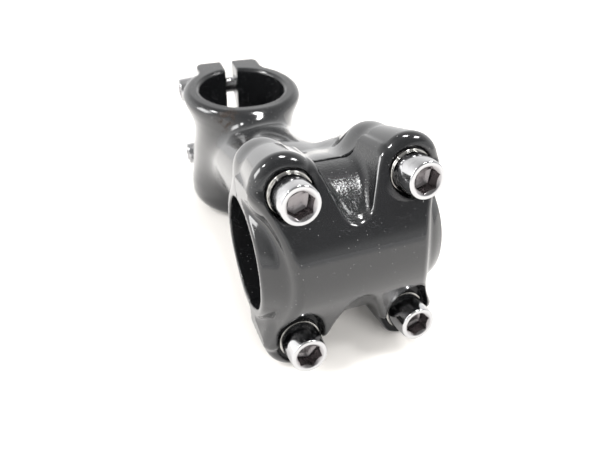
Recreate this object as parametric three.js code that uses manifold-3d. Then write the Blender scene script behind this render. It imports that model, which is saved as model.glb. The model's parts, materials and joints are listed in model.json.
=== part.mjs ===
// Threadless bicycle handlebar stem: a forged body with a waisted steerer clamp, a four-bolt faceplate,
// four faceplate bolts and two pinch bolts, each on its washer.
// Millimetres. The origin is on the clamp's lower land, straight ahead of the steerer; +Z runs up the
// steerer, the faceplate looks towards -Y and the handlebar lies along X. The shapes below are drawn
// from the middle of the clamp, on the steerer axis, and the whole group is moved at the end.
import * as THREE from "three";
import { mergeVertices } from "three/addons/utils/BufferGeometryUtils.js";
import Module from "manifold-3d";

// ---- driving dimensions ----
const EXTENSION = 80; // steerer axis to handlebar axis, along the extension
const RISE = THREE.MathUtils.degToRad(15); // of the extension above square to the steerer
const ROOT_Z = -1.4; // where the extension's axis crosses the steerer axis

const STEERER_R = 14.3; // for a 28.6 mm steerer
const CLAMP_H = 42;
const RIM_R = 19.8;
const WAIST_R = 16.8;
const LIP = 0.8; // chamfer at each mouth of the steerer bore
const LAND_R = 16.35; // middle of the flat land at each end of the clamp

const BAR_R = 12.7; // for a 25.4 mm handlebar
const BAR_W = 41.6; // width of the handlebar clamp
const RING_R = 16.5; // outside of the clamp ring
const RING_END_R = 14.2; // outside of the ring at its two thin ends
const PLATEAU_N = 18.7; // front of the faceplate, from the handlebar axis
const SPLIT_GAP = 0.3; // between body and faceplate

const BOLT_X = 13; // faceplate bolts, either side of the middle
const BOLT_V = 17.2; // and above and below the handlebar axis
const SEAT_N = 11.4; // faceplate bolt seats, ahead of the handlebar axis
const TOWER_R = 6.6; // of the boss round each faceplate bolt, at the split
const UPPER_FRONT_R = 8.2; // and at the front of the upper two
const LOWER_FRONT_R = 7.5; // and of the lower two
const BOSS_N = SEAT_N + 0.8; // front of the bosses
const SCOOP_LEAN = THREE.MathUtils.degToRad(33); // of the scoop over each lower seat, towards the middle

const SLOT_W = 4;
const EAR_HALF_W = 11.5; // pinch ears, to each side face
const EAR_BACK_Y = 22.6;
const PINCH_Y = 18.2;
const PINCH_Z = 13.5; // pinch bolts, above and below mid-height
const HOLLOW_R = 9.5; // round hollow across the back, between the two pinch bolts
const HOLLOW_Y = 27.2; // its axis, behind the steerer

const THREAD_R = 2.95; // M6 shank, with its thread left off
const HEAD_R = 4.45; // where it meets the washer
const HEAD_TOP_R = 4.05;
const HEAD_H = 6;
const HEX_AF = 5; // key size across flats
const HEX_DEPTH = 3.4;
const BOLT_LENGTH = 20; // under the head
const CLEARANCE_R = 3.3; // plain holes
const TAPPED_R = 3.08; // tapped holes, with their thread left off
const TAPPED_DEPTH = 10;
const WASHER_R = 4.75;
const WASHER_BORE_R = 3.2;
const WASHER_T = 1;
const SEAT_R = WASHER_R + 0.2; // flat of each bolt seat
const REST_GAP = 0.05; // between faces that are clamped together

const POCKET_R = 10; // lightening pocket inside the extension
const POCKET_DEPTH = 44; // its length, from just inside the handlebar bore
const POCKET_WIDEN = 1.15; // its width over its height

const FAR = 60; // reach of a cutter that runs out of the part

// ---- solids ----
const wasm = await Module();
wasm.setup();

// A closed three.js geometry as a solid.
function solidOf(geometry) {
  const bare = geometry.clone();
  bare.deleteAttribute("normal");
  bare.deleteAttribute("uv");
  const merged = mergeVertices(bare, 1e-4);
  const mesh = new wasm.Mesh({
    numProp: 3,
    vertProperties: merged.attributes.position.array,
    triVerts: new Uint32Array(merged.index.array),
  });
  return new wasm.Manifold(mesh);
}

// A solid as a three.js geometry.
function geometryOf(solid) {
  const mesh = solid.getMesh();
  const geometry = new THREE.BufferGeometry();
  geometry.setAttribute("position", new THREE.BufferAttribute(mesh.vertProperties, 3));
  geometry.setIndex(new THREE.BufferAttribute(mesh.triVerts, 1));
  geometry.computeVertexNormals();
  return geometry;
}

// A profile of [radius, height] pairs turned about the Z axis.
function turned(profile, segments) {
  const points = profile.map(([r, z]) => new THREE.Vector2(r, z));
  return new THREE.LatheGeometry(points, segments).rotateX(Math.PI / 2);
}

function rod(radius, length, segments = 28) {
  return new THREE.CylinderGeometry(radius, radius, length, segments);
}

// A smooth run of points through a few [a, b] pairs.
function smooth(pairs, count) {
  const curve = new THREE.SplineCurve(pairs.map(([a, b]) => new THREE.Vector2(a, b)));
  return curve.getPoints(count).map((p) => [p.x, p.y]);
}

// ---- the handlebar clamp's own frame: X along the bar, -Y forward, +Z up ----
const barCentre = new THREE.Vector3(
  0,
  -EXTENSION * Math.cos(RISE),
  ROOT_Z + EXTENSION * Math.sin(RISE),
);
const barFrame = new THREE.Matrix4()
  .makeRotationX(-RISE)
  .setPosition(barCentre);

const CORNERS = [
  ["upper_left", -BOLT_X, BOLT_V],
  ["upper_right", BOLT_X, BOLT_V],
  ["lower_left", -BOLT_X, -BOLT_V],
  ["lower_right", BOLT_X, -BOLT_V],
];

// The ring about the handlebar, solid through, full radius in the middle and thin at its ends.
function barRing(middleR) {
  const half = BAR_W / 2;
  const side = smooth([[RING_END_R, half], [15.4, half - 2.2], [RING_R, half - 6.5]], 6);
  const upper = [[0, half], ...side, [middleR, half - 14]];
  const lower = upper.map(([r, z]) => [r, -z]);
  return turned([...lower, ...upper.reverse()], 56).rotateY(Math.PI / 2);
}

// A box that covers everything from the given y forward (-Y) or back (+Y).
function halfSpace(y, forward) {
  const centre = forward ? y - FAR / 2 : y + FAR / 2;
  return new THREE.BoxGeometry(2 * FAR, FAR, 2 * FAR).translate(0, centre, 0);
}

// ---- stem body ----

// The waisted steerer clamp, with a flat land at each end.
function steererClamp() {
  const half = CLAMP_H / 2;
  const outside = smooth(
    [
      [RIM_R - 2.2, -half],
      [RIM_R - 0.4, -half + 1],
      [RIM_R + 0.3, -half + 4],
      [RIM_R - 0.4, -half + 9.5],
      [WAIST_R + 1.3, -4.5],
      [WAIST_R, 4.5],
      [WAIST_R + 0.7, 10],
      [RIM_R - 1, half - 6],
      [RIM_R, half - 3],
      [RIM_R - 0.6, half - 0.9],
      [RIM_R - 2.2, half],
    ],
    14,
  );
  return turned([[0, -half], ...outside, [0, half]], 48);
}

// The block at the back of the clamp that the slot parts into ears, hollowed between its two bolts.
function pinchEars() {
  const r = 3; // upright corners
  const bevel = 1;
  const inside = 6; // where the block starts, inside the clamp's wall
  const w = EAR_HALF_W - bevel;
  const back = EAR_BACK_Y - bevel;
  const outline = new THREE.Shape()
    .moveTo(-w, inside)
    .lineTo(w, inside)
    .lineTo(w, back - r)
    .absarc(w - r, back - r, r, 0, Math.PI / 2, false)
    .lineTo(-w + r, back)
    .absarc(-w + r, back - r, r, Math.PI / 2, Math.PI, false)
    .closePath();
  const block = new THREE.ExtrudeGeometry(outline, {
    depth: CLAMP_H - 2 * bevel,
    bevelThickness: bevel,
    bevelSize: bevel,
    bevelSegments: 3,
    curveSegments: 6,
  }).translate(0, 0, -CLAMP_H / 2 + bevel);
  const hollow = rod(HOLLOW_R, 2 * FAR, 40).rotateZ(Math.PI / 2).translate(0, HOLLOW_Y, 0);
  return solidOf(block).subtract(solidOf(hollow));
}

// The extension: oval sections along its axis, flaring into the steerer clamp and the bar clamp.
function extensionBeam() {
  const stations = [
    // distance from the steerer axis, half width, half height
    new THREE.Vector3(2, 15.8, 16.5),
    new THREE.Vector3(16, 15.4, 14.6),
    new THREE.Vector3(30, 15.0, 13.8),
    new THREE.Vector3(45, 15.4, 14.2),
    new THREE.Vector3(58, 17.0, 16.4),
    new THREE.Vector3(68, 19.0, 18.6),
    new THREE.Vector3(79, 19.6, 19.0),
  ];
  const along = new THREE.CatmullRomCurve3(stations);
  const beam = new THREE.CylinderGeometry(1, 1, 1, 40, 10);
  const place = beam.attributes.position;
  const station = new THREE.Vector3();
  for (let i = 0; i < place.count; i += 1) {
    along.getPoint(THREE.MathUtils.clamp(place.getY(i) + 0.5, 0, 1), station);
    const x = place.getX(i) * station.y;
    const z = place.getZ(i) * station.z;
    place.setXYZ(i, x, EXTENSION - station.x, z);
  }
  return flipped(beam);
}

// The same surface with its faces turned over.
function flipped(geometry) {
  const index = geometry.index.array;
  for (let i = 0; i < index.length; i += 3) {
    const kept = index[i];
    index[i] = index[i + 1];
    index[i + 1] = kept;
  }
  return geometry;
}

// The boss behind each faceplate bolt, from the split back to a rounded end.
function bodyBoss(x, z) {
  const back = -13.6;
  const side = smooth([[2.2, back], [4.3, -10.5], [5.5, -6], [TOWER_R - 0.3, -2.5], [TOWER_R, 0]], 5);
  return turned([[0, back], ...side, [0, 0]], 22).rotateX(Math.PI / 2).translate(x, 0, z);
}

// A pocket that lightens the extension, open only into the handlebar bore.
function lighteningPocket() {
  const nose = smooth(
    [
      [0, -POCKET_DEPTH],
      [0.5 * POCKET_R, 1.4 - POCKET_DEPTH],
      [0.82 * POCKET_R, 6 - POCKET_DEPTH],
      [POCKET_R, 18 - POCKET_DEPTH],
      [POCKET_R, -8],
    ],
    8,
  );
  return turned([...nose, [POCKET_R, 0], [0, 0]], 28)
    .scale(POCKET_WIDEN, 1, 1)
    .rotateX(Math.PI / 2)
    .translate(0, RING_R - 6, 0);
}

function pinchHoles(z) {
  const toX = Math.PI / 2;
  const plain = rod(CLEARANCE_R, FAR).rotateZ(toX).translate(-FAR / 2, PINCH_Y, z);
  const tapped = rod(TAPPED_R, FAR).rotateZ(toX).translate(FAR / 2, PINCH_Y, z);
  const seat = rod(SEAT_R, FAR, 40)
    .rotateZ(toX)
    .translate(-EAR_HALF_W - FAR / 2, PINCH_Y, z);
  return [plain, tapped, seat];
}

// A chamfered through bore up the Z axis.
function steererBore() {
  const half = CLAMP_H / 2;
  const mouth = STEERER_R + LIP;
  const profile = [
    [0, -half - 1],
    [mouth + 1, -half - 1],
    [STEERER_R, -half + LIP],
    [STEERER_R, half - LIP],
    [mouth + 1, half + 1],
    [0, half + 1],
  ];
  return turned(profile, 52);
}

function stemBody() {
  const toBar = (geometry) => geometry.applyMatrix4(barFrame);
  let front = solidOf(toBar(extensionBeam())).add(solidOf(toBar(barRing(RING_R + 1.6))));
  CORNERS.forEach(([, x, z]) => {
    front = front.add(solidOf(toBar(bodyBoss(x, z))));
  });
  front = front.subtract(solidOf(toBar(halfSpace(0, true))));
  front = front.intersect(solidOf(toBar(new THREE.BoxGeometry(BAR_W, 200, 2 * (BOLT_V + TOWER_R)))));

  let body = solidOf(steererClamp()).add(pinchEars()).add(front);
  const cutters = [
    steererBore(),
    new THREE.BoxGeometry(SLOT_W, FAR, 2 * FAR).translate(0, FAR / 2, 0),
    ...pinchHoles(PINCH_Z),
    ...pinchHoles(-PINCH_Z),
    toBar(rod(BAR_R, 2 * FAR, 56).rotateZ(Math.PI / 2)),
    toBar(lighteningPocket()),
    ...CORNERS.map(([, x, z]) => toBar(rod(TAPPED_R, 2 * TAPPED_DEPTH).translate(x, 0, z))),
  ];
  cutters.forEach((cutter) => {
    body = body.subtract(solidOf(cutter));
  });
  return geometryOf(body);
}

// ---- faceplate, in the handlebar clamp's frame ----

// Front view: four towers joined by a plate with waisted sides, a V at the top and an arch below.
function faceplateOutline() {
  const reach = BOLT_V + TOWER_R;
  const edge = BOLT_X + TOWER_R;
  const waist = 14.6;
  const vHalf = 6.9;
  const vTip = 9.7;
  const vRound = 3.8;
  const vDepth = 2.9; // of the V's round tip
  const arch = BOLT_X - TOWER_R;
  const archMid = 14.5;
  const archTop = 6.8;
  return new THREE.Shape()
    .moveTo(-vHalf, reach)
    .lineTo(-vRound, vTip + vDepth)
    .quadraticCurveTo(0, vTip - vDepth, vRound, vTip + vDepth)
    .lineTo(vHalf, reach)
    .lineTo(BOLT_X, reach)
    .absarc(BOLT_X, BOLT_V, TOWER_R, Math.PI / 2, 0, true)
    .quadraticCurveTo(2 * waist - edge, 0, edge, -BOLT_V)
    .absarc(BOLT_X, -BOLT_V, TOWER_R, 0, -Math.PI / 2, true)
    .absarc(BOLT_X, -BOLT_V, TOWER_R, -Math.PI / 2, -Math.PI, true)
    .lineTo(arch, -archMid)
    .quadraticCurveTo(arch - 0.5, -archTop, 0, -archTop)
    .quadraticCurveTo(0.5 - arch, -archTop, -arch, -archMid)
    .absarc(-BOLT_X, -BOLT_V, TOWER_R, 0, -Math.PI / 2, true)
    .absarc(-BOLT_X, -BOLT_V, TOWER_R, -Math.PI / 2, -Math.PI, true)
    .quadraticCurveTo(edge - 2 * waist, 0, -edge, BOLT_V)
    .absarc(-BOLT_X, BOLT_V, TOWER_R, Math.PI, Math.PI / 2, true)
    .closePath();
}

// Side view: the crowned front, from the lower towers over the middle to the upper ones.
function faceplateCrown() {
  const reach = BOLT_V + TOWER_R;
  const half = [
    [PLATEAU_N, 0],
    [PLATEAU_N - 0.7, 4.8],
    [PLATEAU_N - 2.5, 9.4],
    [14.4, 13.6],
    [12.9, BOLT_V],
    [11, 21.2],
    [8, reach],
  ];
  const mirrored = half.slice(1).reverse().map(([n, v]) => [n, -v]);
  const front = smooth([...mirrored, ...half], 28);
  const side = new THREE.Shape([
    new THREE.Vector2(0, -reach),
    ...front.map(([n, v]) => new THREE.Vector2(n, v)),
    new THREE.Vector2(0, reach),
  ]);
  // the profile lies in X (forward) and Y (up), and is drawn out along Z: turned so that it runs along X
  const turn = new THREE.Matrix4().makeBasis(
    new THREE.Vector3(0, -1, 0),
    new THREE.Vector3(0, 0, 1),
    new THREE.Vector3(-1, 0, 0),
  );
  return new THREE.ExtrudeGeometry(side, { depth: 2 * FAR, bevelEnabled: false })
    .translate(0, 0, -FAR)
    .applyMatrix4(turn);
}

// The round-edged boss under a faceplate bolt.
function faceplateBoss(x, z) {
  const r = z > 0 ? UPPER_FRONT_R : LOWER_FRONT_R;
  const edge = smooth([[r, BOSS_N - 3], [r - 0.9, BOSS_N - 0.9], [r - 3, BOSS_N]], 5);
  return turned([[0, 0], [TOWER_R, 0], ...edge, [0, BOSS_N]], 28)
    .rotateX(Math.PI / 2)
    .translate(x, 0, z);
}

// The seat of a faceplate bolt: a round flat; the lower two run out in a scoop that leans towards the middle.
function seatCutter(x, z) {
  const ahead = solidOf(halfSpace(-SEAT_N, true));
  const flat = rod(SEAT_R, FAR, 28).translate(x, -SEAT_N - FAR / 2, z);
  if (z > 0) {
    return solidOf(flat);
  }
  const scoop = rod(SEAT_R, FAR, 28)
    .rotateX(-SCOOP_LEAN)
    .translate(x, -SEAT_N, z);
  return solidOf(scoop).intersect(ahead).add(solidOf(flat));
}

function faceplate() {
  const plate = new THREE.ExtrudeGeometry(faceplateOutline(), {
    depth: 30,
    bevelEnabled: false,
    curveSegments: 7,
  }).rotateX(Math.PI / 2);
  let solid = solidOf(plate).intersect(solidOf(faceplateCrown()));
  solid = solid.add(solidOf(barRing(RING_R + 0.8)));
  CORNERS.forEach(([, x, z]) => {
    solid = solid.add(solidOf(faceplateBoss(x, z)));
  });
  solid = solid.intersect(solidOf(new THREE.BoxGeometry(BAR_W, 2 * FAR, 2 * FAR)));
  const cutters = [
    rod(BAR_R, 2 * FAR, 56).rotateZ(Math.PI / 2),
    halfSpace(-SPLIT_GAP, false),
    ...CORNERS.map(([, x, z]) => rod(CLEARANCE_R, 80).translate(x, 0, z)),
  ];
  cutters.forEach((cutter) => {
    solid = solid.subtract(solidOf(cutter));
  });
  CORNERS.forEach(([, x, z]) => {
    solid = solid.subtract(seatCutter(x, z));
  });
  return geometryOf(solid);
}

// ---- fasteners: the axis is Z, the head is up and its underside is at z = 0 ----

function capScrew() {
  const edge = 0.35;
  const profile = [
    [0, -BOLT_LENGTH],
    [THREAD_R - 0.7, -BOLT_LENGTH],
    [THREAD_R, -BOLT_LENGTH + 0.7],
    [THREAD_R, 0],
    [HEAD_R, 0],
    [HEAD_TOP_R, HEAD_H - edge],
    [HEAD_TOP_R - edge, HEAD_H],
    [0, HEAD_H],
  ];
  const corner = HEX_AF / Math.sqrt(3);
  const socket = new THREE.CylinderGeometry(corner, corner, 2 * HEX_DEPTH, 6)
    .rotateX(Math.PI / 2)
    .translate(0, 0, HEAD_H);
  const mouth = turned([[0, HEAD_H - 2.6], [corner + 0.7, HEAD_H + 0.3], [0, HEAD_H + 0.3]], 24);
  return geometryOf(solidOf(turned(profile, 24)).subtract(solidOf(socket)).subtract(solidOf(mouth)));
}

function washer() {
  const profile = [
    [WASHER_BORE_R, -WASHER_T],
    [WASHER_R, -WASHER_T],
    [WASHER_R, 0],
    [WASHER_BORE_R, 0],
    [WASHER_BORE_R, -WASHER_T],
  ];
  return turned(profile, 24);
}

// ---- assembly ----
const blackPaint = { color: 0x17181a, roughness: 0.18, metalness: 0.1 };
const chrome = { color: 0xd9dadb, roughness: 0.12, metalness: 1 };

function part(name, geometry, finish) {
  const mesh = new THREE.Mesh(geometry, new THREE.MeshStandardMaterial(finish));
  mesh.name = name;
  return mesh;
}

// A cap screw on its washer, with the washer's underside a rest gap above z = 0.
function screwOnWasher(boltName, washerName) {
  const group = new THREE.Group();
  const ring = part(washerName, washer(), chrome);
  ring.position.z = REST_GAP + WASHER_T;
  const bolt = part(boltName, capScrew(), chrome);
  bolt.position.z = 2 * REST_GAP + WASHER_T;
  group.add(ring, bolt);
  return group;
}

const stem = new THREE.Group();
stem.position.set(0, LAND_R, CLAMP_H / 2);
stem.add(part("stem_body", stemBody(), blackPaint));

const barClamp = new THREE.Group();
barClamp.position.copy(barCentre);
barClamp.rotation.x = -RISE;
barClamp.add(part("faceplate", faceplate(), blackPaint));
CORNERS.forEach(([corner, x, z]) => {
  const screw = screwOnWasher(`faceplate_bolt_${corner}`, `faceplate_washer_${corner}`);
  screw.position.set(x, -SEAT_N, z);
  screw.rotation.x = Math.PI / 2;
  barClamp.add(screw);
});
stem.add(barClamp);

[
  ["upper", PINCH_Z],
  ["lower", -PINCH_Z],
].forEach(([level, z]) => {
  const screw = screwOnWasher(`pinch_bolt_${level}`, `pinch_washer_${level}`);
  screw.position.set(-EAR_HALF_W, PINCH_Y, z);
  screw.rotation.y = -Math.PI / 2;
  stem.add(screw);
});

export default stem;
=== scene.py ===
"""A threadless bicycle handlebar stem: gloss black body and faceplate, chromed bolts and washers.

Lengths are in millimetres up to the moment a mesh is made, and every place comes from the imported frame.
The two forgings are distance fields, skinned with a fine mesh that is settled onto the exact surface.
"""

import json
import math

import bpy
import numpy as np
from mathutils import Matrix, Vector


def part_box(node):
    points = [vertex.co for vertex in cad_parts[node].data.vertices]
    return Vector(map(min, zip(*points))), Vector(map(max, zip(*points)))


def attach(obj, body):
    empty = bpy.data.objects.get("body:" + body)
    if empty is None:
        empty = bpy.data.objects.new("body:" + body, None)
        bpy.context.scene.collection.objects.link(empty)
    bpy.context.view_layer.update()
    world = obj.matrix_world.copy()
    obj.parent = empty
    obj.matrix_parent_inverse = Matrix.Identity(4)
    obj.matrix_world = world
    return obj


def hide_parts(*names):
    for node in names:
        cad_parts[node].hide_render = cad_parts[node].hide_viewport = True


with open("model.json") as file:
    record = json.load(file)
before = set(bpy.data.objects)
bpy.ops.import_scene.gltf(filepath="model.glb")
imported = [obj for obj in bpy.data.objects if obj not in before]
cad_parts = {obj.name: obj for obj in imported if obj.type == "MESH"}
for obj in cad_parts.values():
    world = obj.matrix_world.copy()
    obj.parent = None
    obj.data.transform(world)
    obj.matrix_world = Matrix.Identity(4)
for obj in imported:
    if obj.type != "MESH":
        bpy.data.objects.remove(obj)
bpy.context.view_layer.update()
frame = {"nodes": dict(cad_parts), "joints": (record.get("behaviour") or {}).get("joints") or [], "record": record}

MM = 0.001
CORNERS = ("upper_left", "upper_right", "lower_left", "lower_right")
LEVELS = ("upper", "lower")

# ---- places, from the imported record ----
record = frame["record"]
joints = {j["name"]: j for j in frame["joints"]}
openings = {o["name"]: np.array(o["box_m"]) / MM for o in record["physics"]["openings"]}
mounts = {m["name"]: np.array(m["pos_m"]) / MM for m in record["mounts"]}

CLAMP = openings["steerer_bore"].mean(axis=0)  # middle of the steerer clamp, on its axis
BAR = openings["handlebar_bore"].mean(axis=0)  # middle of the handlebar clamp
ACROSS = np.array((1.0, 0.0, 0.0))
FORWARD = np.array(joints["faceplate_lift"]["axis"])
UPWARD = np.cross(FORWARD, ACROSS)
EXTENSION = float(np.dot(BAR - CLAMP, FORWARD))  # from clamp to clamp
HALF_H = (mounts["steerer_top"] - mounts["steerer_bottom"])[2] / 2
HALF_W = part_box("stem_body")[1].x / MM  # half the width of the handlebar clamp

screw_place = {c: np.array(joints[f"bolt_{c}_turn"]["pos_m"]) / MM for c in CORNERS}
pinch_place = {k: np.array(joints[f"pinch_bolt_{k}_turn"]["pos_m"]) / MM for k in LEVELS}
BOLT_X = screw_place["upper_right"][0]
BOLT_V = float(np.dot(screw_place["upper_right"] - BAR, UPWARD))
EAR_X = -pinch_place["upper"][0]
PINCH_Y = pinch_place["upper"][1] - CLAMP[1]
PINCH_Z = pinch_place["upper"][2] - CLAMP[2]
EAR_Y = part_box("stem_body")[1].y / MM - CLAMP[1]


def span(node, axis, origin):
    """Where a CAD node begins and ends along an axis through origin."""
    points = np.array([v.co for v in frame["nodes"][node].data.vertices]) / MM
    along = (points - origin) @ axis
    return along.min(), along.max()


SEAT_N = span("faceplate_washer_upper_left", FORWARD, BAR)[0]  # the bolt seats, ahead of the bar

# ---- driving sizes of the forgings ----
STEERER_R = 14.3
LIP = 0.8  # chamfer at the mouths of the steerer bore
BAR_R = 12.7
SLOT_HALF = 2.0
SPLIT = 0.14  # gap between body and faceplate
HOLE_R = 3.3
TAPPED_R = 3.08
TAPPED_DEPTH = 10.0
SEAT_R = 4.95
TOWER_R = 6.6  # of the bosses, at the split
POCKET_R = 10.0
POCKET_NOSE = 54.5  # how far the lightening pocket reaches behind the bar
POCKET_WIDEN = 1.15  # its width over its height

EDGE = 0.4  # roundings: of the bores and the slot,
SEAT_EDGE = 0.3  # of the seats, the tapped holes and the steerer bore's mouths,
HOLE_EDGE = 0.2  # of the plain holes,
SPLIT_EDGE = 0.12  # along the split,
RING_EDGE = 0.6  # and at the ends of the handlebar clamp


# ---- distance fields: negative inside ----
def soft_min(a, b, width):
    h = np.maximum(width - np.abs(a - b), 0) / width
    return np.minimum(a, b) - h * h * width / 4


def round_max(a, b, radius):
    """What both shapes share, with the edge between them rounded."""
    corner = np.hypot(np.maximum(a + radius, 0), np.maximum(b + radius, 0))
    return np.minimum(np.maximum(a, b), -radius) + corner


def carve(shape, cutter, radius):
    return round_max(shape, -cutter, radius)


def step_up(value, low, high):
    """0 below low, 1 above high, smooth between."""
    t = np.clip((value - low) / (high - low), 0, 1)
    return t * t * (3 - 2 * t)


def curve(*points):
    """A smooth function through (input, output) pairs."""
    x, y = np.array(points, float).T
    slope = np.gradient(y, x)
    t = np.linspace(x[0], x[-1], 600)
    i = np.clip(np.searchsorted(x, t) - 1, 0, len(x) - 2)
    h = x[i + 1] - x[i]
    u = (t - x[i]) / h
    rise = u * u * (3 - 2 * u)
    start = u * (1 - u) ** 2
    end = -u * u * (1 - u)
    value = y[i] + (y[i + 1] - y[i]) * rise + h * (slope[i] * start + slope[i + 1] * end)
    return lambda q: np.interp(q, t, value)


def oval(a, b, half_a, half_b):
    """Distance to an oval of the given half sizes, close to its edge."""
    k = np.hypot(a / half_a, b / half_b)
    steep = np.maximum(np.hypot(a / half_a**2, b / half_b**2), 1e-6)
    return k * (k - 1) / steep


def cone_rod(point, start, start_r, end, end_r):
    """A round rod whose radius runs from start_r to end_r."""
    line = np.subtract(end, start)
    offset = point - np.array(start)
    t = np.clip(offset @ line / (line @ line), 0, 1)
    return np.linalg.norm(offset - t[:, None] * line, axis=1) - (start_r + t * (end_r - start_r))


def wedge(a, b, tip, radius, half_angle):
    """A V that opens along +b from a rounded tip at b = tip."""
    edge = np.array((math.sin(half_angle), math.cos(half_angle)))
    p = np.abs(a)
    q = b - (tip + radius)
    t = np.maximum(p * edge[0] + q * edge[1], 0)
    side = np.sign(p * edge[1] - q * edge[0])
    return side * np.hypot(p - t * edge[0], q - t * edge[1]) - radius


# ---- stem body ----
CLAMP_OUTSIDE = curve(
    (-21, 19.2), (-17, 20.1), (-14, 20.0), (-10, 19.3), (-5, 18.2), (0, 17.3),
    (4.5, 16.8), (8, 17.0), (12, 17.9), (15, 18.9), (18, 19.75), (21, 19.7),
)  # radius of the waisted clamp up its height
BEAM_HALF_W = curve((0, 14.5), (20, 14.8), (35, 15), (50, 15.6), (60, 16.8), (70, 18.5), (80, 19.5))
BEAM_HALF_H = curve((0, 14.5), (20, 13.5), (35, 14.0), (50, 15.2), (60, 16.2), (70, 16.6), (80, 16.2))
RING_R = curve((0, 17.0), (7, 16.9), (14.3, 16.3), (18.6, 15.3), (HALF_W, 14.2))
RING_CROWN = curve((0, 1.1), (7, 1.0), (14, 0.0), (HALF_W, 0.0))  # by how much it is higher than deep
RIM_EDGE = 2.4  # rounding at both ends of the steerer clamp
EAR_START = 5.0  # where the pinch ears begin, inside the clamp's wall
EAR_CORNER = 2.6  # roundings of the ears: upright,
EAR_EDGE = 0.7  # above and below,
HOLLOW_EDGE = 1.2  # and along the hollow between the bolts
HOLLOW_R = 9.5
HOLLOW_Y = 4.6  # its axis, behind the ears
BOSS_WAIST_R = 6.1  # of the boss behind each bolt, on its way back to the extension
BOSS_TAIL_R = 5.2
EAR_BLEND = 1.0  # how softly the ears run into the steerer clamp,
ROOT_BLEND = 7.0  # the extension into it,
RING_BLEND = 4.0  # the extension into the handlebar clamp
BODY_BOSS_BLEND = 4.5  # and the bosses into both


def to_clamp(points):
    return (points - CLAMP).T


def to_bar(points):
    """Points in the handlebar clamp's frame: across, up and forward."""
    offset = points - BAR
    return offset[:, 0], offset @ UPWARD, offset @ FORWARD


def steerer_clamp(x, y, z):
    return round_max(np.hypot(x, y) - CLAMP_OUTSIDE(z), np.abs(z) - HALF_H, RIM_EDGE)


def pinch_ears(x, y, z):
    """The block behind the clamp, hollowed across between its two bolts."""
    plan = round_max(np.abs(x) - EAR_X, y - EAR_Y, EAR_CORNER)
    block = round_max(np.maximum(plan, EAR_START - y), np.abs(z) - HALF_H, EAR_EDGE)
    hollow = np.hypot(y - EAR_Y - HOLLOW_Y, z) - HOLLOW_R
    return carve(block, hollow, HOLLOW_EDGE)


def bar_ring(x, v, n):
    radius = np.maximum(np.hypot(v, n), 1e-6)
    side = np.abs(x)
    outside = radius - RING_R(side) - RING_CROWN(side) * (v / radius) ** 2
    return round_max(outside, side - HALF_W, RING_EDGE)


def body_boss(point):
    """The rounded boss behind each faceplate bolt, for points folded to one corner."""
    root = (BOLT_X, BOLT_V, 4)
    waist = (BOLT_X, BOLT_V - 0.5, -6)
    tail = (BOLT_X - 2, BOLT_V - 5.2, -17)
    front = cone_rod(point, root, TOWER_R, waist, BOSS_WAIST_R)
    back = cone_rod(point, waist, BOSS_WAIST_R, tail, BOSS_TAIL_R)
    return soft_min(front, back, 2)


def lightening_pocket(x, v, n):
    """A round-nosed pocket inside the extension, open to the handlebar bore."""
    beyond = n - np.clip(n, POCKET_R - POCKET_NOSE, 0)
    return np.linalg.norm(np.stack((x / POCKET_WIDEN, v, beyond)), axis=0) - POCKET_R


def body_outside(x, y, z, v, n):
    """The forging before it is bored: steerer clamp, ears, extension, handlebar clamp and bosses."""
    station = n + EXTENSION
    beam = oval(x, v, BEAM_HALF_W(station), BEAM_HALF_H(station))
    beam = np.maximum(beam, -station)
    front = soft_min(beam, bar_ring(x, v, n), RING_BLEND)
    folded = np.stack((np.abs(x), np.abs(v), n), axis=1)
    front = soft_min(front, body_boss(folded), BODY_BOSS_BLEND)
    shape = soft_min(steerer_clamp(x, y, z), pinch_ears(x, y, z), EAR_BLEND)
    shape = np.maximum(shape, np.abs(z) - HALF_H)
    return soft_min(shape, round_max(front, np.abs(x) - HALF_W, RING_EDGE), ROOT_BLEND)


def bolt_distance(x, v):
    """Distance from the axis of the nearest faceplate bolt."""
    return np.hypot(np.abs(x) - BOLT_X, np.abs(v) - BOLT_V)


def body_field(points):
    x, y, z = to_clamp(points)
    _, v, n = to_bar(points)
    shape = round_max(body_outside(x, y, z, v, n), n, SPLIT_EDGE)
    shape = carve(shape, np.hypot(v, n) - BAR_R, EDGE)
    shape = np.maximum(shape, -lightening_pocket(x, v, n))
    tapped = np.maximum(bolt_distance(x, v) - TAPPED_R, np.abs(n) - TAPPED_DEPTH)
    shape = carve(shape, tapped, SEAT_EDGE)
    across = np.hypot(x, y)
    mouth = (across - STEERER_R - (np.abs(z) - HALF_H + LIP)) * math.sqrt(0.5)
    shape = carve(shape, np.minimum(across - STEERER_R, mouth), SEAT_EDGE)
    shape = carve(shape, np.maximum(np.abs(x) - SLOT_HALF, -y), EDGE)
    pinch = np.hypot(y - PINCH_Y, np.abs(z) - PINCH_Z)
    shape = carve(shape, pinch - np.where(x < 0, HOLE_R, TAPPED_R), HOLE_EDGE)
    return carve(shape, np.maximum(pinch - SEAT_R, x + EAR_X), SEAT_EDGE)


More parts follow.
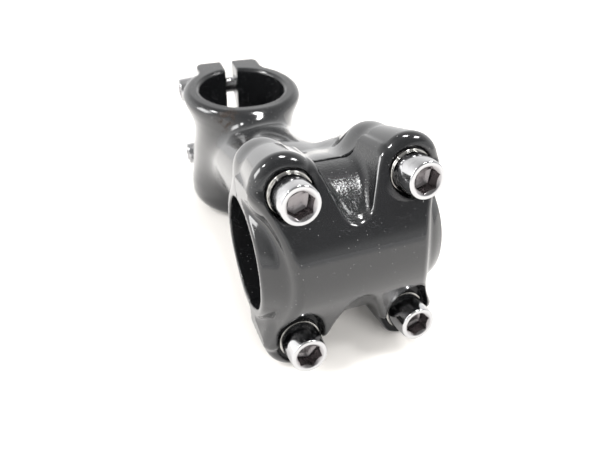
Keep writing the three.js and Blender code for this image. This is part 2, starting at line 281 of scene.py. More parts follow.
# ---- faceplate ----
CROWN = curve(
    (-26, 9.5), (-24, 11.9), (-21.2, 13.0), (-17.2, 13.6), (-13.6, 14.5), (-9.4, 16.3), (-4.8, 18.05),
    (0, 18.7), (4.8, 18.05), (9.4, 16.3), (13.6, 14.4), (17.2, 12.9), (21.2, 11.0), (26, 8.0),
)  # front of the plate, ahead of the bar axis, by height
WAIST = 14.9  # half the plate's width at the middle
WAIST_GROWTH = 0.017  # it widens with the square of the height
WALL_SPREAD = 0.22  # and towards the bar, by this share of the depth
PLATE_REACH = 1.0  # past the bolts, up and down
SHOULDER = 4.0  # how much higher the plate stands beside the V
SHOULDER_IN, SHOULDER_OUT = 8, 12  # where that fades away, across
PLAN_EDGE = 2.0  # roundings of the plate: seen from the front,
CROWN_EDGE = 1.7  # round its front,
CUT_EDGE = 0.9  # and along the V and the arch
BOSS_R = 7.2  # of the bosses under the bolts, at their front
BOSS_N = SEAT_N + 0.7
BOSS_EDGE = 2.9
BOSS_OUT = np.array((0.6, 0.7))  # how far the bosses lean outward
BOSS_BLEND = 1.6  # how softly they run into the plate,
PLATE_BLEND = 1.8  # and the plate into its ring
SCOOP_R = 5.5  # of the slanted scoop from each lower seat towards the middle
SCOOP_LEAN = math.radians(33)
SCOOP_TAPER = 0.12  # by how much it narrows per millimetre forward
SCOOP_BLEND = 0.5
V_TIP, V_R, V_ANGLE = 9.9, 3.4, math.radians(21)
ARCH_TIP, ARCH_R, ARCH_ANGLE = 6.7, 3.2, math.radians(23)


def faceplate_slab(x, v, n):
    """The curved middle of the plate, with walls that spread a little towards the bar."""
    spread = WALL_SPREAD * np.maximum(CROWN(v) - n, 0)
    side = np.abs(x) - WAIST - WAIST_GROWTH * v * v - spread
    shoulder = SHOULDER * step_up(-np.abs(x), -SHOULDER_OUT, -SHOULDER_IN) * (v > 0)
    end = np.abs(v) - BOLT_V - PLATE_REACH - shoulder
    plan = round_max(side, end, PLAN_EDGE)
    return round_max(plan, n - CROWN(v), CROWN_EDGE)


def faceplate_boss(x, v, n):
    """The round-edged boss that each bolt sits on."""
    lean = np.clip(n / SEAT_N, 0, 1.2)  # 0 at the split, 1 at the seat
    off = np.hypot(np.abs(x) - BOLT_X - BOSS_OUT[0] * lean, np.abs(v) - BOLT_V - BOSS_OUT[1] * lean)
    return round_max(off - TOWER_R - (BOSS_R - TOWER_R) * lean, n - BOSS_N, BOSS_EDGE)


def faceplate_front(x, v, n):
    """Slab and bosses, cut by the V above and the arch below."""
    front = soft_min(faceplate_slab(x, v, n), faceplate_boss(x, v, n), BOSS_BLEND)
    front = carve(front, wedge(x, v, V_TIP, V_R, V_ANGLE), CUT_EDGE)
    return carve(front, wedge(x, -v, ARCH_TIP, ARCH_R, ARCH_ANGLE), CUT_EDGE)


def seat_cut(x, v, n):
    """The bolt's seat: a shallow flat. The lower seats run out in a scoop slanted to the middle."""
    a = np.abs(x) - BOLT_X
    b = np.abs(v) - BOLT_V
    c = n - SEAT_N
    lean = np.where(v < 0, SCOOP_LEAN, 0)
    radius = np.where(v < 0, SCOOP_R, SEAT_R) - SCOOP_TAPER * np.maximum(c, 0)
    scoop = np.hypot(a, np.cos(lean) * b + np.sin(lean) * c) - radius
    return np.maximum(soft_min(np.hypot(a, b) - SEAT_R, scoop, SCOOP_BLEND), -c)


def faceplate_field(points):
    x, v, n = to_bar(points)
    shape = soft_min(faceplate_front(x, v, n), bar_ring(x, v, n), PLATE_BLEND)
    shape = carve(shape, seat_cut(x, v, n), SEAT_EDGE)
    shape = carve(shape, bolt_distance(x, v) - HOLE_R, HOLE_EDGE)
    shape = carve(shape, np.hypot(v, n) - BAR_R, EDGE)
    shape = round_max(shape, SPLIT - n, SPLIT_EDGE)
    return np.maximum(shape, np.abs(x) - HALF_W)


# ---- skinning a field ----
CUBE = np.array([[i, j, k] for i in (0, 1) for j in (0, 1) for k in (0, 1)])
CUBE_EDGES = [(a, b) for a in range(8) for b in range(a + 1, 8) if np.abs(CUBE[a] - CUBE[b]).sum() == 1]


def gradient(field, points, step=0.02):
    out = np.zeros_like(points)
    for axis in range(3):
        nudge = np.zeros(3)
        nudge[axis] = step
        out[:, axis] = (field(points + nudge) - field(points - nudge)) / (2 * step)
    return out


def project(field, points, limit):
    """Moves points onto the surface, no further than limit."""
    slope = gradient(field, points)
    size = np.maximum((slope**2).sum(axis=1), 0.05)
    move = slope * (field(points) / size)[:, None]
    length = np.linalg.norm(move, axis=1, keepdims=True)
    return points - move * np.minimum(1, limit / np.maximum(length, 1e-9))


def skin(field, low, high, step):
    """Points and four-sided faces on a field's surface, with one point in each cell that it crosses."""
    axes = [np.arange(a - 2 * step, b + 3 * step, step) for a, b in zip(low, high)]
    grid = np.stack(np.meshgrid(*axes, indexing="ij"), axis=-1)
    slabs = np.array_split(grid, 16)
    value = np.concatenate([field(s.reshape(-1, 3)).reshape(s.shape[:3]) for s in slabs])
    inside = value < 0
    size = np.array(value.shape) - 1
    count = sum(
        inside[i : i + size[0], j : j + size[1], k : k + size[2]].astype(np.int8) for i, j, k in CUBE
    )
    crossed = (count > 0) & (count < 8)
    cells = np.argwhere(crossed)
    number = np.full(crossed.shape, -1)
    number[crossed] = np.arange(len(cells))
    corner = np.stack([value[tuple((cells + c).T)] for c in CUBE], axis=1)
    total = np.zeros((len(cells), 3))
    hits = np.zeros(len(cells))
    for a, b in CUBE_EDGES:
        cut = (corner[:, a] < 0) != (corner[:, b] < 0)
        t = corner[cut, a] / (corner[cut, a] - corner[cut, b])
        total[cut] += CUBE[a] + t[:, None] * (CUBE[b] - CUBE[a])
        hits[cut] += 1
    start = np.array([a[0] for a in axes])
    points = start + step * (cells + total / hits[:, None])
    faces = []
    for axis in range(3):
        after = np.eye(3, dtype=int)[axis]
        side_a = np.eye(3, dtype=int)[(axis + 1) % 3]
        side_b = np.eye(3, dtype=int)[(axis + 2) % 3]
        ends = [slice(1, n) for n in size]
        here = inside[tuple(ends)]
        there = inside[tuple(slice(1 + d, n + d) for d, n in zip(after, size))]
        for flip, hit in ((False, here & ~there), (True, ~here & there)):
            at = np.argwhere(hit) + 1
            ring = [at - side_a - side_b, at - side_b, at, at - side_a]
            quad = np.stack([number[tuple(r.T)] for r in ring], axis=1)
            faces.append(quad[:, ::-1] if flip else quad)
    faces = np.concatenate(faces)
    return points, faces[(faces >= 0).all(axis=1)]


def relax(field, points, faces, step, rounds):
    """Evens out the faces along the surface, which stays where the field says."""
    for _ in range(rounds):
        middle = points[faces].mean(axis=1)
        weight = np.bincount(faces.ravel(), minlength=len(points))
        mean = np.stack(
            [np.bincount(faces.ravel(), np.repeat(middle[:, i], 4), len(points)) for i in range(3)],
            axis=1,
        ) / weight[:, None]
        points = project(field, 0.4 * points + 0.6 * mean, 0.5 * step)
    return project(field, points, 0.5 * step)


def mesh_object(name, points, faces, normals=None):
    mesh = bpy.data.meshes.new(name)
    mesh.from_pydata((points * MM).tolist(), [], [list(f) for f in faces])
    mesh.polygons.foreach_set("use_smooth", np.ones(len(faces), bool))
    if normals is not None:
        mesh.normals_split_custom_set_from_vertices(normals.tolist())
    mesh.update()
    piece = bpy.data.objects.new(name, mesh)
    bpy.context.scene.collection.objects.link(piece)
    return piece


def mark(piece, name, values):
    """Stores a number per point for the materials to read."""
    attribute = piece.data.attributes.new(name, "FLOAT", "POINT")
    attribute.data.foreach_set("value", np.asarray(values, np.float32))


def forging(name, field, node, step, cast, seat_shade):
    """The skin of a field in place of a CAD node, with the marks that its paint reads."""
    low, high = (np.array(c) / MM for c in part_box(node))
    points, faces = skin(field, low, high, step)
    points = relax(field, points, faces.astype(int), step, rounds=4)
    slope = gradient(field, points, 0.05)
    slope /= np.maximum(np.linalg.norm(slope, axis=1, keepdims=True), 1e-9)
    piece = mesh_object(name, points, faces, slope)
    mark(piece, "cast", cast(points))
    # the seat mark is painted shade: it lowers the gloss of the bolt seats
    mark(piece, "seat_shade", seat_shade(points))
    return piece


def in_bore(distance, radius, fade):
    """1 inside a bore and 0 from its wall outward by fade."""
    return step_up(-distance, -radius - fade, -radius - 0.1)


def body_cast(points):
    """Rough, unpolished paint: inside the two bores."""
    x, y, _ = to_clamp(points)
    _, v, n = to_bar(points)
    return np.maximum(in_bore(np.hypot(x, y), STEERER_R, 0.5), in_bore(np.hypot(v, n), BAR_R, 0.4))


# no painted seat shade on the body
def no_seat_shade(points):
    return np.zeros(len(points))


def faceplate_cast(points):
    """Rough, unpolished paint: inside the V, away from the plate's front, and inside the bore."""
    x, v, n = to_bar(points)
    wall = step_up(-wedge(x, v, V_TIP, V_R, V_ANGLE), -0.3, 0.1)
    return np.maximum(wall * step_up(CROWN(v) - n, 0.7, 1.5), in_bore(np.hypot(v, n), BAR_R, 0.4))


def faceplate_seat_shade(points):
    """Painted shade in the seats of the bolts, laid on as lowered gloss."""
    return step_up(-np.abs(seat_cut(*to_bar(points))), -0.6, -0.2)


# ---- bolts and washers ----
SEGMENTS = 72  # six sides of the socket, twelve each
HEAD_R = 4.45
HEAD_TOP_R = 3.98
HEAD_H = 6.0
HEAD_FOOT_EDGE = 0.15  # roundings of the head: at its foot,
HEAD_EDGE = 0.35  # at its top,
MOUTH_EDGE = 0.05  # and where the socket opens
SOCKET_FLAT = 2.5  # half of the 5 mm key
SOCKET_DEPTH = 3.4
SOCKET_MOUTH = 3.0  # radius of the round mouth that leads into the six sides
MOUTH_SLOPE = 0.9  # its depth over its width
THREAD_R = 2.95
PITCH = 1.0
THREAD_DEPTH = 0.45
THREAD_RUNOUT = 1.2  # length over which the thread fades at either end
NECK = 3.0  # unthreaded, under the head
WASHER_R = 4.7
WASHER_BORE_R = 3.2
WASHER_EDGE = 0.18
TURN = np.arange(SEGMENTS) * 2 * math.pi / SEGMENTS
SOCKET_R = SOCKET_FLAT / np.cos((TURN + math.pi / 6) % (math.pi / 3) - math.pi / 6)


def arc_pairs(centre_r, centre_z, radius, start, end, count=5):
    """Points of a round edge as (radius, height)."""
    turn = np.radians(np.linspace(start, end, count))
    return [(centre_r + radius * math.cos(a), centre_z + radius * math.sin(a)) for a in turn]


def loop(radius, height):
    """One ring of points; radius and height may vary round it."""
    r = np.broadcast_to(radius, TURN.shape)
    z = np.broadcast_to(height, TURN.shape)
    return np.stack((r * np.cos(TURN), r * np.sin(TURN), z), axis=1)


def stack(loops, closed=False, cap_start=False, cap_end=False):
    """Joins rings of points into one surface whose first ring is its lowest, seen from outside."""
    points = np.concatenate(loops)
    a = np.arange(SEGMENTS)
    b = (a + 1) % SEGMENTS
    rows = len(loops) if closed else len(loops) - 1
    faces = []
    for row in range(rows):
        this, following = row * SEGMENTS, ((row + 1) % len(loops)) * SEGMENTS
        faces += np.stack((this + a, this + b, following + b, following + a), axis=1).tolist()
    for capped, row in ((cap_start, 0), (cap_end, len(loops) - 1)):
        if capped:
            hub = len(points)
            points = np.vstack((points, loops[row].mean(axis=0)))
            rim = row * SEGMENTS
            order = (b, a) if row == 0 else (a, b)
            faces += [[rim + int(p), rim + int(q), hub] for p, q in zip(*order)]
    return points, faces


def thread(low, high):
    """Rings of a right-handed thread, running out at both ends."""
    rings = []
    for z in np.arange(low, high, PITCH / 4):
        wave = np.abs(((z / PITCH - TURN / (2 * math.pi)) % 1) * 2 - 1)
        runout = min(1.0, (z - low) / THREAD_RUNOUT, (high - z) / THREAD_RUNOUT)
        rings.append(loop(THREAD_R - THREAD_DEPTH * wave * runout, z))
    return rings


def cap_screw(name, length):
    """A socket-head cap screw with its head up and the head's underside at height 0."""
    foot, top, mouth = HEAD_FOOT_EDGE, HEAD_EDGE, HEAD_H - MOUTH_EDGE
    head = [(HEAD_R - 0.2, 0), *arc_pairs(HEAD_R - foot, foot, foot, -60, 0, 3)]
    head += arc_pairs(HEAD_TOP_R - top, HEAD_H - top, top, 0, 90)
    head += [(SOCKET_MOUTH + 0.25, HEAD_H), (SOCKET_MOUTH, mouth)]
    cone = mouth - (SOCKET_MOUTH - SOCKET_R) * MOUTH_SLOPE
    floor = HEAD_H - SOCKET_DEPTH
    loops = [loop(THREAD_R - 2 * THREAD_DEPTH, -length), loop(THREAD_R - THREAD_DEPTH, -length + 0.35)]
    loops += thread(-length + 0.5, -NECK)
    loops += [loop(THREAD_R, -NECK), loop(THREAD_R, -0.3), loop(THREAD_R + 0.25, 0)]
    loops += [loop(r, z) for r, z in head]
    loops += [loop(SOCKET_R, cone), loop(SOCKET_R, cone - 0.12), loop(SOCKET_R, floor + 0.1)]
    loops += [loop(SOCKET_R - 0.12, floor), loop(1.6, floor - 0.25)]
    points, faces = stack(loops, cap_start=True, cap_end=True)
    piece = mesh_object(name, points, faces)
    piece.data.set_sharp_from_angle(angle=math.radians(32))
    away = np.hypot(points[:, 0], points[:, 1])
    inside = step_up(-away, -SOCKET_MOUTH - 0.1, -SOCKET_MOUTH + 0.1) * (points[:, 2] > 0)
    mark(piece, "grime", 0.5 * step_up(-points[:, 2], -1.0, 0.0))
    mark(piece, "socket", inside)
    return piece


def plain_washer(name, thick):
    """A flat washer with softly rounded edges, its underside at height 0."""
    r = WASHER_EDGE
    inner, outer = WASHER_BORE_R + r, WASHER_R - r
    low, high = r, thick - r
    corners = ((outer, low, -90), (outer, high, 0), (inner, high, 90), (inner, low, 180))
    profile = [pair for a, z, start in corners for pair in arc_pairs(a, z, r, start, start + 90, 4)]
    points, faces = stack([loop(a, z) for a, z in profile], closed=True)
    piece = mesh_object(name, points, faces)
    piece.data.set_sharp_from_angle(angle=math.radians(50))
    mark(piece, "grime", 0.35 + 0.5 * step_up(-points[:, 2], -0.6, 0.0))
    mark(piece, "socket", np.zeros(len(points)))
    return piece


def set_on_axis(piece, origin, axis, height, turn):
    """Moves a piece drawn up the Z axis onto an axis of the frame."""
    place = Matrix.Translation(Vector((origin + height * axis) * MM))
    place = place @ Vector(axis).to_track_quat("Z", "Y").to_matrix().to_4x4()
    piece.data.transform(place @ Matrix.Rotation(turn, 4, "Z"))


def fasten(bolt_node, origin, axis, turn):
    """A bolt and its washer in place of the CAD pair, each on its own body."""
    washer_node = bolt_node.replace("bolt", "washer")
    low, high = span(bolt_node, axis, origin)
    bolt = cap_screw(bolt_node.replace("bolt", "screw"), high - HEAD_H - low)
    set_on_axis(bolt, origin, axis, high - HEAD_H, turn)
    foot, top = span(washer_node, axis, origin)
    washer = plain_washer(washer_node + "_ring", top - foot)
    set_on_axis(washer, origin, axis, foot, turn)
    for piece, node in ((bolt, bolt_node), (washer, washer_node)):
        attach(piece, node.removeprefix("faceplate_"))
        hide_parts(node)
    return bolt, washer


# ---- materials ----
class Nodes:
    """A short way to wire shader nodes."""

    def __init__(self, tree):
        self.tree = tree

    def feed(self, socket, value):
        """Links another node's output to a socket, or gives it a fixed value."""
        if isinstance(value, bpy.types.NodeSocket):
            self.tree.links.new(value, socket)
        else:
            socket.default_value = value

    def add(self, kind, **inputs):
        """A new node, with its sockets and settings by name."""
        node = self.tree.nodes.new("ShaderNode" + kind)
        for key, value in inputs.items():
            if key in node.inputs.keys():
                self.feed(node.inputs[key], value)
            else:
                setattr(node, key, value)
        return node

    def math(self, operation, a, b=0.0, clamp=False):
        node = self.add("Math", operation=operation, use_clamp=clamp)
        for socket, value in zip(node.inputs, (a, b)):
            self.feed(socket, value)
        return node.outputs[0]

    def multiply(self, a, b):
        return self.math("MULTIPLY", a, b)

    def ramp(self, value, low, high, to_low=0.0, to_high=1.0):
        node = self.add("MapRange", Value=value, interpolation_type="SMOOTHSTEP")
        names = ("From Min", "From Max", "To Min", "To Max")
        for name, number in zip(names, (low, high, to_low, to_high)):
            node.inputs[name].default_value = number
        return node.outputs[0]

    def noise(self, scale, detail=3.0, roughness=0.55, vector=None):
        node = self.add("TexNoise", Scale=scale, Detail=detail, Roughness=roughness)
        self.tree.links.new(vector or self.place(), node.inputs["Vector"])
        return node.outputs["Fac"]

    def place(self):
        return self.add("TexCoord").outputs["Object"]

    def attribute(self, name):
        return self.add("Attribute", attribute_name=name).outputs["Fac"]

    def mix(self, share, a, b):
        """A colour between a and b."""
        node = self.add("Mix", data_type="RGBA")
        for socket, value in zip((0, 6, 7), (share, a, b)):
            self.feed(node.inputs[socket], value)
        return node.outputs[2]

    def blend(self, share, a, b):
        """A number between a and b."""
        rest = self.math("SUBTRACT", 1.0, share)
        return self.math("ADD", self.multiply(a, rest), self.multiply(b, share))


def new_material(name):
    material = bpy.data.materials.new(name)
    material.use_nodes = True
    tree = material.node_tree
    tree.nodes.clear()
    nodes = Nodes(tree)
    shader = nodes.add("BsdfPrincipled")
    out = nodes.add("OutputMaterial")
    tree.links.new(shader.outputs[0], out.inputs["Surface"])
    return material, nodes, shader


def specks(nodes, scale, share):
    """Scattered small dots, 1 inside a dot: a share of the cells holds one."""
    cell = nodes.add("TexVoronoi", Scale=scale)
    nodes.tree.links.new(nodes.place(), cell.inputs["Vector"])
    near = nodes.ramp(cell.outputs["Distance"], 0.10, 0.16, 1.0, 0.0)
    pick = nodes.add("SeparateColor")
    nodes.tree.links.new(cell.outputs["Color"], pick.inputs[0])
    return nodes.multiply(near, nodes.math("LESS_THAN", pick.outputs[0], share))


def scratches(nodes, scale, stretch, turn):
    """Fine straight scuffs, 1 on a scuff."""
    shift = nodes.add("Mapping")
    shift.inputs["Rotation"].default_value = turn
    shift.inputs["Scale"].default_value = stretch
    nodes.tree.links.new(nodes.place(), shift.inputs["Vector"])
    fine = nodes.noise(scale, 2.0, 0.5, shift.outputs[0])
    ridge = nodes.math("ABSOLUTE", nodes.math("SUBTRACT", fine, 0.5))
    line = nodes.ramp(ridge, 0.0, 0.006, 1.0, 0.0)
    patch = nodes.ramp(nodes.noise(260.0, 2.0), 0.52, 0.66)
    return nodes.multiply(line, patch)


SMUDGE = CLAMP + np.array((-8.5, -16.2, 17.8))  # old grease below the rim, at the front
SMUDGE_CORE, SMUDGE_R = 1.0, 5.5
PAINT_TONES = (0.0055, 0.0058, 0.0065, 1), (0.010, 0.0105, 0.0115, 1)
GREASE = (0.032, 0.018, 0.010, 1)
SCUFFED_PAINT = (0.16, 0.16, 0.17, 1)
DUST = (0.45, 0.45, 0.44, 1)
BARE_METAL = (0.62, 0.62, 0.63, 1)


def grease_smudge(nodes):
    """1 in the middle of the smudge, patchy and fading outward."""
    away = nodes.add("VectorMath", operation="DISTANCE")
    nodes.feed(away.inputs[0], nodes.place())
    nodes.feed(away.inputs[1], SMUDGE * MM)
    near = nodes.ramp(away.outputs["Value"], SMUDGE_CORE * MM, SMUDGE_R * MM, 1.0, 0.0)
    return nodes.multiply(near, nodes.ramp(nodes.noise(420.0, 4.0), 0.45, 0.6))


def black_paint():
    """Gloss black over forged aluminium: orange peel, dust, scuffs, painted shade in the bolt seats as lowered
    gloss, a grainy finish where the forging wasn't polished, and bare metal at the sharpest edges."""
    material, nodes, shader = new_material("gloss_black_paint")
    link = nodes.tree.links.new
    cast = nodes.attribute("cast")
    cloud = nodes.noise(90.0, 4.0)
    grain = nodes.noise(2000.0, 2.0, 0.6)
    dust = specks(nodes, 1400.0, 0.16)
    scuff = scratches(nodes, 420.0, (1.0, 6.0, 1.0), (0.3, 0.5, 0.9))
    smudge = grease_smudge(nodes)
    sharp = nodes.ramp(nodes.add("NewGeometry").outputs["Pointiness"], 0.60, 0.66)
    chip = nodes.multiply(sharp, nodes.ramp(nodes.noise(700.0, 3.0), 0.60, 0.68))

    black = nodes.mix(cloud, *PAINT_TONES)
    black = nodes.mix(nodes.multiply(smudge, 0.8), black, GREASE)
    black = nodes.mix(nodes.multiply(scuff, 0.35), black, SCUFFED_PAINT)
    black = nodes.mix(nodes.multiply(dust, 0.35), black, DUST)
    link(nodes.mix(chip, black, BARE_METAL), shader.inputs["Base Color"])
    link(chip, shader.inputs["Metallic"])

    rough = nodes.blend(cast, nodes.ramp(cloud, 0.3, 0.7, 0.10, 0.17), 0.24)
    rough = nodes.math("ADD", rough, nodes.multiply(nodes.math("ADD", scuff, dust), 0.25), clamp=True)
    link(nodes.blend(smudge, rough, 0.5), shader.inputs["Roughness"])

    # dull joins the painted seat shade, which lowers gloss in the bolt seats, with the real grease of the smudge
    dull = nodes.math("MAXIMUM", nodes.attribute("seat_shade"), smudge)
    gloss_kept = nodes.math("SUBTRACT", 1.0, nodes.multiply(dull, 0.75))
    covered = nodes.multiply(nodes.math("SUBTRACT", 1.0, nodes.multiply(cast, 0.4)), gloss_kept)
    coat = nodes.multiply(covered, nodes.math("SUBTRACT", 1.0, dust))
    link(nodes.multiply(gloss_kept, 0.5), shader.inputs["Specular IOR Level"])
    link(coat, shader.inputs["Coat Weight"])
    shader.inputs["IOR"].default_value = 1.5
    shader.inputs["Coat Roughness"].default_value = 0.07

    peel = nodes.multiply(nodes.noise(330.0, 2.0, 0.4), 0.05)
    height = nodes.math("ADD", peel, nodes.multiply(nodes.multiply(grain, cast), 0.8))
    height = nodes.math("ADD", height, nodes.multiply(dust, 0.25))
    bump = nodes.add("Bump", Height=height, Strength=0.35, Distance=0.25 * MM)
    link(bump.outputs[0], shader.inputs["Normal"])
    link(bump.outputs[0], shader.inputs["Coat Normal"])
    return material


SCRATCHED_METAL = (0.42, 0.42, 0.43, 1)
PIT = (0.12, 0.10, 0.08, 1)
SOCKET_PAINTED_SHADE = (0.32, 0.30, 0.305, 1)


def chrome(name, tint, grime_tint, wear):
    """Chrome plate with hairline scratches, pits, dull sockets darkened with painted shade, and grime where it
    gathers.
    """
    material, nodes, shader = new_material(name)
    link = nodes.tree.links.new
    grime = nodes.multiply(nodes.attribute("grime"), nodes.ramp(nodes.noise(520.0, 4.0), 0.48, 0.68))
    socket = nodes.attribute("socket")
    cloud = nodes.noise(300.0, 4.0)
    pits = specks(nodes, 900.0, 0.06 * wear)
    scuff = scratches(nodes, 900.0, (8.0, 1.0, 1.0), (0.2, 0.1, 0.7))

    metal = nodes.mix(cloud, tint, tuple(0.86 * c for c in tint[:3]) + (1,))
    metal = nodes.mix(nodes.multiply(scuff, 0.5), metal, SCRATCHED_METAL)
    metal = nodes.mix(pits, metal, PIT)
    # painted shade inside the sockets; their extra roughness below is their own dull finish
    metal = nodes.mix(socket, metal, SOCKET_PAINTED_SHADE)
    link(nodes.mix(grime, metal, grime_tint), shader.inputs["Base Color"])
    link(nodes.math("SUBTRACT", 1.0, nodes.multiply(grime, 0.35)), shader.inputs["Metallic"])

    rough = nodes.ramp(cloud, 0.35, 0.7, 0.08, 0.14)
    rough = nodes.math("ADD", rough, nodes.multiply(scuff, 0.2))
    rough = nodes.math("ADD", rough, nodes.multiply(socket, 0.16))
    link(nodes.blend(grime, rough, 0.42), shader.inputs["Roughness"])

    ripple = nodes.multiply(nodes.noise(1500.0, 2.0), 0.06)
    height = nodes.math("SUBTRACT", ripple, nodes.multiply(scuff, 0.12))
    bump = nodes.add("Bump", Height=height, Strength=0.2, Distance=0.06 * MM)
    link(bump.outputs[0], shader.inputs["Normal"])
    return material


# ---- stage: floor, light and camera ----
CAMERA_FROM_CLAMP = np.array((-39.18, -154.37, 95.23))
CAMERA_AZIMUTH, CAMERA_ELEVATION, CAMERA_ROLL = (math.radians(a) for a in (-22.24, 40.54, 2.89))
CAMERA_LENS = 29.68
SENSOR = 36.0
CAMERA_STOP = 36.0
FOCUS = 95.0  # the near screws are sharp, the far clamp a little soft
FLOOR_TONES = (0.93, 0.90, 0.86, 1), (0.95, 0.92, 0.88, 1)
FLOOR_SHADE = (0.42, 0.42, 0.425, 1)
SHADE_FULL, SHADE_END = -0.42, -0.07  # of the shade in front of the stem, metres along the floor
FLOOR_R = 3.0  # metres
FLOOR_RINGS = 24
FLOOR_SIDES = 64
STEEPEST = math.radians(30)  # tilt of the floor
MIDDLE = Vector(((CLAMP + BAR) / 2 * MM).tolist())  # of the stem
LIGHT_AWAY = 3.0  # metres
LIGHTS = {
    # direction from the stem, size in metres and watts
    "ceiling": ((0.24, 0.20, 0.95), (0.70, 0.42), 44.0),
    "window": ((-0.85, 0.15, 0.50), (1.3, 1.3), 40.0),
    "left_lamp": ((-0.55, 0.10, 0.80), (0.50, 0.34), 18.0),
    "front_fill": ((0.15, -0.75, 0.62), (1.4, 1.0), 60.0),
    "right_lamp": ((0.64, -0.20, 0.74), (0.70, 0.60), 26.0),
}


def pale_surface():
    """Plain white paper, in the photographer's shade at the front and darker in reflections.
    It is clear from below, for a low camera."""
    material, nodes, shader = new_material("pale_floor")
    link = nodes.tree.links.new
    tone = nodes.mix(nodes.noise(12.0, 2.0), *FLOOR_TONES)
    where = nodes.add("SeparateXYZ")
    link(nodes.place(), where.inputs[0])
    shade = nodes.ramp(where.outputs[1], SHADE_FULL, SHADE_END, 1.0, 0.0)
    path = nodes.add("LightPath")
    dim = nodes.multiply(path.outputs["Is Glossy Ray"], 0.55)
    tone = nodes.mix(nodes.math("MAXIMUM", shade, dim), tone, FLOOR_SHADE)
    link(tone, shader.inputs["Base Color"])
    link(tone, shader.inputs["Emission Color"])
    link(nodes.multiply(path.outputs["Is Camera Ray"], 0.06), shader.inputs["Emission Strength"])
    shader.inputs["Roughness"].default_value = 0.7
    clear = nodes.add("BsdfTransparent")
    choice = nodes.add("MixShader")
    link(nodes.add("NewGeometry").outputs["Backfacing"], choice.inputs[0])
    link(shader.outputs[0], choice.inputs[1])
    link(clear.outputs[0], choice.inputs[2])
    out = next(n for n in nodes.tree.nodes if n.type == "OUTPUT_MATERIAL")
    link(choice.outputs[0], out.inputs["Surface"])
    return material


def resting_plane(pieces):
    """The tilt of the table under the stem, which touches it at the steerer clamp and at the faceplate,
    and one of the points that touch. The tilt is found by halving."""
    points = np.concatenate([np.array([p.matrix_world @ v.co for v in p.data.vertices]) for p in pieces])
    balance = MIDDLE.y
    low, high = 0.0, STEEPEST
    for _ in range(30):
        tilt = (low + high) / 2
        drop = points @ np.array((0, math.sin(tilt), math.cos(tilt)))
        if points[drop.argmin()][1] > balance:
            low = tilt
        else:
            high = tilt
    return tilt, points[drop.argmin()]


def build_floor(pieces):
    tilt, touch = resting_plane(pieces)
    turn = np.arange(FLOOR_SIDES) * 2 * math.pi / FLOOR_SIDES
    radii = [FLOOR_R * r / FLOOR_RINGS for r in range(1, FLOOR_RINGS + 1)]
    verts = [(0, 0, 0)] + [(r * math.cos(a), r * math.sin(a), 0) for r in radii for a in turn]
    sides = [(i, (i + 1) % FLOOR_SIDES) for i in range(FLOOR_SIDES)]
    faces = [(0, 1 + i, 1 + j) for i, j in sides]
    for ring in range(FLOOR_RINGS - 1):
        inner = 1 + ring * FLOOR_SIDES
        outer = inner + FLOOR_SIDES
        faces += [(inner + i, outer + i, outer + j, inner + j) for i, j in sides]
    mesh = bpy.data.meshes.new("floor")
    mesh.from_pydata(verts, [], faces)
    floor = bpy.data.objects.new("floor", mesh)
    bpy.context.scene.collection.objects.link(floor)
    mesh.materials.append(pale_surface())
    normal = Vector((0, math.sin(tilt), math.cos(tilt)))
    centre = MIDDLE - normal * ((MIDDLE - Vector(touch)) @ normal)
    floor.matrix_world = Matrix.Translation(centre) @ Matrix.Rotation(-tilt, 4, "X")


def area_light(name, direction, size, power):
    data = bpy.data.lights.new(name, "AREA")
    data.shape = "RECTANGLE"
    data.size, data.size_y = size
    data.energy = power
    light = bpy.data.objects.new(name, data)
    bpy.context.scene.collection.objects.link(light)
    toward = Vector(direction).normalized()
    light.location = MIDDLE + toward * LIGHT_AWAY
    light.rotation_euler = (-toward).to_track_quat("-Z", "Y").to_euler()
    return light


def light_scene():
    """A white tent, bright behind the stem and low in front of it, with a ceiling light, a window and two
    lamps. Dull surfaces also get a fill from all round, and one in front that reflections don't show."""
    world = bpy.data.worlds.new("studio")
    bpy.context.scene.world = world
    world.use_nodes = True
    tree = world.node_tree
    tree.nodes.clear()
    nodes = Nodes(tree)
    link = tree.links.new
    parts = nodes.add("SeparateXYZ")
    link(nodes.add("TexCoord").outputs["Generated"], parts.inputs[0])
    across, back, up = parts.outputs[:3]
    front_tent = nodes.ramp(up, 0.29, 0.47, 0.76, 0.26)
    back_tent = nodes.ramp(up, 0.20, 0.85, 1.05, 0.45)
    left = nodes.ramp(across, -0.9, -0.1, 0.5, 0.0)
    tent = nodes.math("ADD", nodes.blend(nodes.ramp(back, -0.6, 0.3), front_tent, back_tent), left)
    path = nodes.add("LightPath")
    fill = nodes.multiply(path.outputs["Is Diffuse Ray"], 0.32)
    strength = nodes.blend(path.outputs["Is Camera Ray"], nodes.math("ADD", tent, fill), 1.05)
    backdrop = nodes.add("Background", Color=(1, 1, 1, 1), Strength=strength)
    link(backdrop.outputs[0], nodes.add("OutputWorld").inputs["Surface"])
    for name, (direction, size, power) in LIGHTS.items():
        light = area_light(name, direction, size, power)
        light.visible_glossy = name != "front_fill"


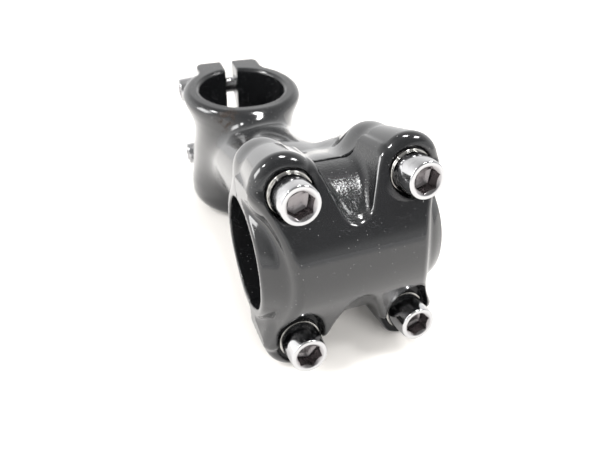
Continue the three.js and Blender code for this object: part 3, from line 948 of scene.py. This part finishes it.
def photo_camera():
    a, e, r = CAMERA_AZIMUTH, CAMERA_ELEVATION, CAMERA_ROLL
    back = Vector((math.sin(a) * math.cos(e), -math.cos(a) * math.cos(e), math.sin(e)))
    right = (-back).cross(Vector((0, 0, 1))).normalized()
    up = right.cross(-back)
    rolled_right = math.cos(r) * right + math.sin(r) * up
    rolled_up = math.cos(r) * up - math.sin(r) * right
    data = bpy.data.cameras.new("camera")
    data.lens = CAMERA_LENS
    data.sensor_width = SENSOR
    data.clip_start = 0.005
    data.dof.use_dof = True
    data.dof.focus_distance = FOCUS * MM
    data.dof.aperture_fstop = CAMERA_STOP
    camera = bpy.data.objects.new("camera", data)
    bpy.context.scene.collection.objects.link(camera)
    turn = Matrix((rolled_right, rolled_up, back)).transposed().to_4x4()
    camera.matrix_world = Matrix.Translation(Vector((CLAMP + CAMERA_FROM_CLAMP) * MM)) @ turn
    bpy.context.scene.camera = camera


# ---- build ----
KEY_TURN = {  # of the sockets, in radians
    "upper_left": math.radians(-10), "upper_right": math.radians(-13),
    "lower_left": math.radians(13), "lower_right": math.radians(-12),
    "upper": 0.2, "lower": 0.7,
}
BODY_STEP = 0.42  # of the mesh
PLATE_STEP = 0.85 * BODY_STEP

body = forging("stem_forging", body_field, "stem_body", BODY_STEP, body_cast, no_seat_shade)
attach(body, "stem")
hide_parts("stem_body")
plate = forging(
    "faceplate_forging", faceplate_field, "faceplate", PLATE_STEP, faceplate_cast, faceplate_seat_shade,
)
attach(plate, "faceplate")
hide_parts("faceplate")
paint = black_paint()
for piece in (body, plate):
    piece.data.materials.append(paint)

screw_metal = chrome("chrome_plate", (0.72, 0.72, 0.73, 1), (0.14, 0.12, 0.10, 1), 1.0)
washer_metal = chrome("dull_plate", (0.62, 0.61, 0.58, 1), (0.10, 0.08, 0.05, 1), 2.0)
fasteners = [fasten(f"faceplate_bolt_{c}", screw_place[c], FORWARD, KEY_TURN[c]) for c in CORNERS]
fasteners += [fasten(f"pinch_bolt_{k}", pinch_place[k], -ACROSS, KEY_TURN[k]) for k in LEVELS]
for bolt, washer in fasteners:
    bolt.data.materials.append(screw_metal)
    washer.data.materials.append(washer_metal)

build_floor([body, plate])
light_scene()
photo_camera()
bpy.context.scene.view_settings.view_transform = "Standard"
